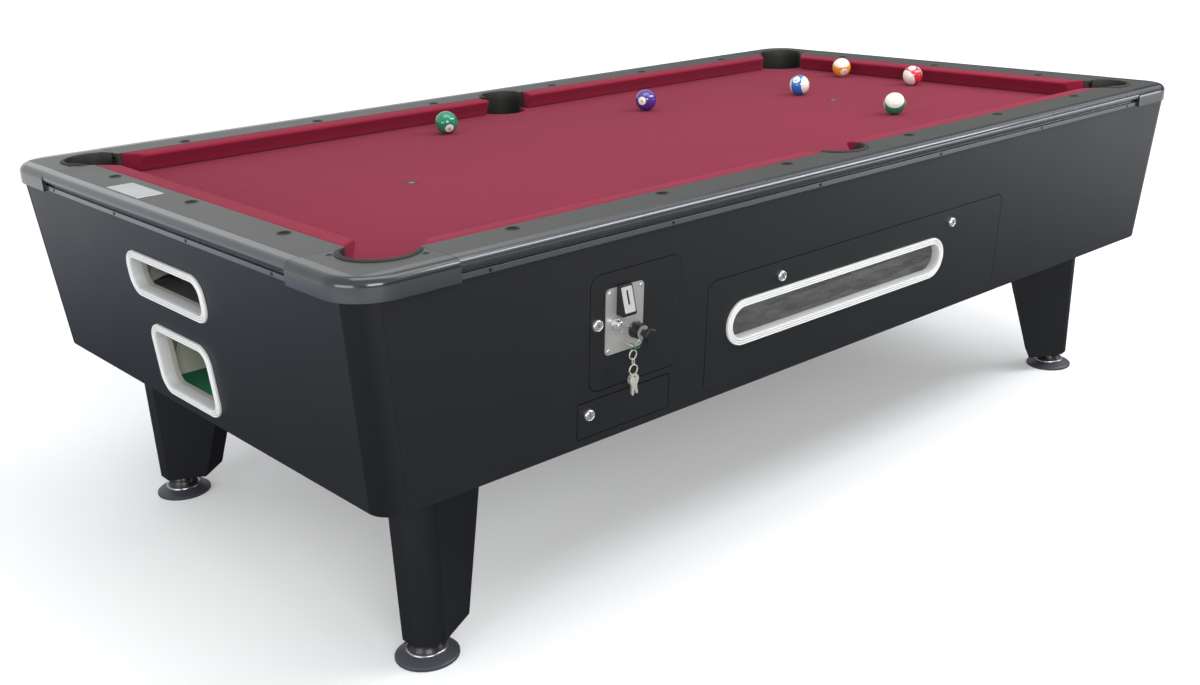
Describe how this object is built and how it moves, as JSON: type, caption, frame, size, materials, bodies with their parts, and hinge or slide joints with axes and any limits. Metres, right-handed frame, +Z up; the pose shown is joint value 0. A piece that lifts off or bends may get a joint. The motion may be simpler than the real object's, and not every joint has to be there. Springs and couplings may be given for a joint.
{
  "type": "coin-operated pool table",
  "caption": "Free-standing coin-operated pool table with a sloping cabinet, cloth bed, cushions, lined pockets, ball windows, a coin door with push knob, cash drawer and levelling feet.",
  "frame": {"origin": "on the floor, under the middle of the playing surface", "axes": "+X along the table, away from the end with the ball windows; +Z up; the coin door faces -Y"},
  "size_m": [2.56, 1.4603, 0.8072],
  "materials": {
    "beige_board": "plain board",
    "black_laminate": "black laminated board, satin",
    "black_plastic": "black moulding",
    "black_rubber": "matt black",
    "brushed_steel": "brushed",
    "chrome": "polished",
    "crimson_cloth": "woven wool cloth, short nap",
    "crimson_cushion": "cloth stretched over rubber",
    "dark_extrusion": "anodised dark extrusion, semi-gloss",
    "grey_cap_plastic": "dark grey moulding, satin",
    "grey_rail_laminate": "dark grey laminate, satin",
    "grey_sheet": "grey sheet",
    "light_grey_plastic": "light grey moulding",
    "slate": "honed slate"
  },
  "bodies": {
    "table": {"back_panel": "black_laminate", "ball_trough": "grey_sheet", "bed_cloth": "crimson_cloth", "cabinet_floor": "beige_board", "corner_cap_back_left": "grey_cap_plastic", "corner_cap_back_right": "grey_cap_plastic", "corner_cap_front_left": "grey_cap_plastic", "corner_cap_front_right": "grey_cap_plastic", "cue_ball_window": "light_grey_plastic", "cushion_back_left": "crimson_cushion", "cushion_back_right": "crimson_cushion", "cushion_front_left": "crimson_cushion", "cushion_front_right": "crimson_cushion", "cushion_left": "crimson_cushion", "cushion_right": "crimson_cushion", "edge_trim_back": "dark_extrusion", "edge_trim_front": "dark_extrusion", "edge_trim_left": "dark_extrusion", "edge_trim_right": "dark_extrusion", "front_panel": "black_laminate", "left_end_panel": "black_laminate", "leg_back_left": "black_laminate", "leg_back_right": "black_laminate", "leg_front_left": "black_laminate", "leg_front_right": "black_laminate", "object_ball_window": "light_grey_plastic", "pocket_liner_back_left": "black_rubber", "pocket_liner_back_right": "black_rubber", "pocket_liner_front_left": "black_rubber", "pocket_liner_front_right": "black_rubber", "pocket_liner_side_back": "black_rubber", "pocket_liner_side_front": "black_rubber", "rail_back": "grey_rail_laminate", "rail_front": "grey_rail_laminate", "rail_left": "grey_rail_laminate", "rail_right": "grey_rail_laminate", "right_end_panel": "black_laminate", "slate_bed": "slate", "slate_edge_back_left": "slate", "slate_edge_back_right": "slate", "slate_edge_front_left": "slate", "slate_edge_front_right": "slate"},
    "coin_door": {"coin_door": "black_laminate", "coin_plate": "brushed_steel", "coin_acceptor": "black_plastic"},
    "push_knob": {"push_knob": "black_plastic"},
    "plate_lock": {"plate_lock": "chrome"},
    "coin_door_lock": {"coin_door_lock": "chrome"},
    "cash_drawer": {"cash_drawer": "black_laminate"},
    "drawer_lock": {"drawer_lock": "chrome"},
    "window_leaf": {"window_leaf": "black_laminate", "ball_window": "light_grey_plastic"},
    "window_lock_left": {"window_lock_left": "chrome"},
    "window_lock_right": {"window_lock_right": "chrome"},
    "release_gate": {"release_gate": "brushed_steel"},
    "key_bunch": {"key_bunch": "brushed_steel"},
    "levelling_foot_front_left": {"levelling_foot_front_left": "black_plastic"},
    "levelling_foot_front_right": {"levelling_foot_front_right": "black_plastic"},
    "levelling_foot_back_left": {"levelling_foot_back_left": "black_plastic"},
    "levelling_foot_back_right": {"levelling_foot_back_right": "black_plastic"}
  },
  "joints": [
    {"name": "foot_screw_front_left", "type": "slide", "parent": "table", "child": "levelling_foot_front_left", "axis": [0, 0, -1], "range_m": [0, 0.02]},
    {"name": "foot_screw_front_right", "type": "slide", "parent": "table", "child": "levelling_foot_front_right", "axis": [0, 0, -1], "range_m": [0, 0.02]},
    {"name": "foot_screw_back_left", "type": "slide", "parent": "table", "child": "levelling_foot_back_left", "axis": [0, 0, -1], "range_m": [0, 0.02]},
    {"name": "foot_screw_back_right", "type": "slide", "parent": "table", "child": "levelling_foot_back_right", "axis": [0, 0, -1], "range_m": [0, 0.02]},
    {"name": "coin_door_hinge", "type": "hinge", "parent": "table", "child": "coin_door", "pos_m": [-0.58, -0.69256, 0.59843], "axis": [0, -0.0847, 0.9964], "range_deg": [0, 110]},
    {"name": "knob_push", "type": "slide", "parent": "coin_door", "child": "push_knob", "axis": [0, 0.9964, 0.0847], "range_m": [0, 0.012], "stiffness_N_per_m": 400, "springref_m": -0.01},
    {"name": "plate_lock_turn", "type": "hinge", "parent": "coin_door", "child": "plate_lock", "pos_m": [-0.7435, -0.69358, 0.61049], "axis": [0, 0.9964, 0.0847], "range_deg": [0, 90]},
    {"name": "coin_door_lock_turn", "type": "hinge", "parent": "coin_door", "child": "coin_door_lock", "pos_m": [-0.784, -0.69406, 0.61617], "axis": [0, 0.9964, 0.0847], "range_deg": [0, 90]},
    {"name": "drawer_slide", "type": "slide", "parent": "table", "child": "cash_drawer", "axis": [0, -1, 0], "range_m": [0, 0.18]},
    {"name": "drawer_lock_turn", "type": "hinge", "parent": "cash_drawer", "child": "drawer_lock", "pos_m": [-0.8, -0.67962, 0.44628], "axis": [0, 0.9964, 0.0847], "range_deg": [0, 90]},
    {"name": "window_leaf_hinge", "type": "hinge", "parent": "table", "child": "window_leaf", "pos_m": [-0.004, -0.67569, 0.39995], "axis": [1, 0, 0], "range_deg": [0, 95]},
    {"name": "window_lock_left_turn", "type": "hinge", "parent": "window_leaf", "child": "window_lock_left", "pos_m": [-0.2925, -0.69275, 0.60073], "axis": [0, -0.9964, -0.0847], "range_deg": [0, 90]},
    {"name": "window_lock_right_turn", "type": "hinge", "parent": "window_leaf", "child": "window_lock_right", "pos_m": [0.2925, -0.69275, 0.60073], "axis": [0, 0.9964, 0.0847], "range_deg": [0, 90]},
    {"name": "gate_swing", "type": "hinge", "parent": "table", "child": "release_gate", "pos_m": [-0.512, -0.5999, 0.5743], "axis": [0, 1, 0], "range_deg": [0, 50]},
    {"name": "keys_swing", "type": "hinge", "parent": "coin_door", "child": "key_bunch", "pos_m": [-0.728, -0.72397, 0.57248], "axis": [1, 0, 0], "range_deg": [-45, 12]}
  ],
  "couplings": [
    {"joint": "gate_swing", "follows": "knob_push", "rad_per_m": 72.72}
  ]
}
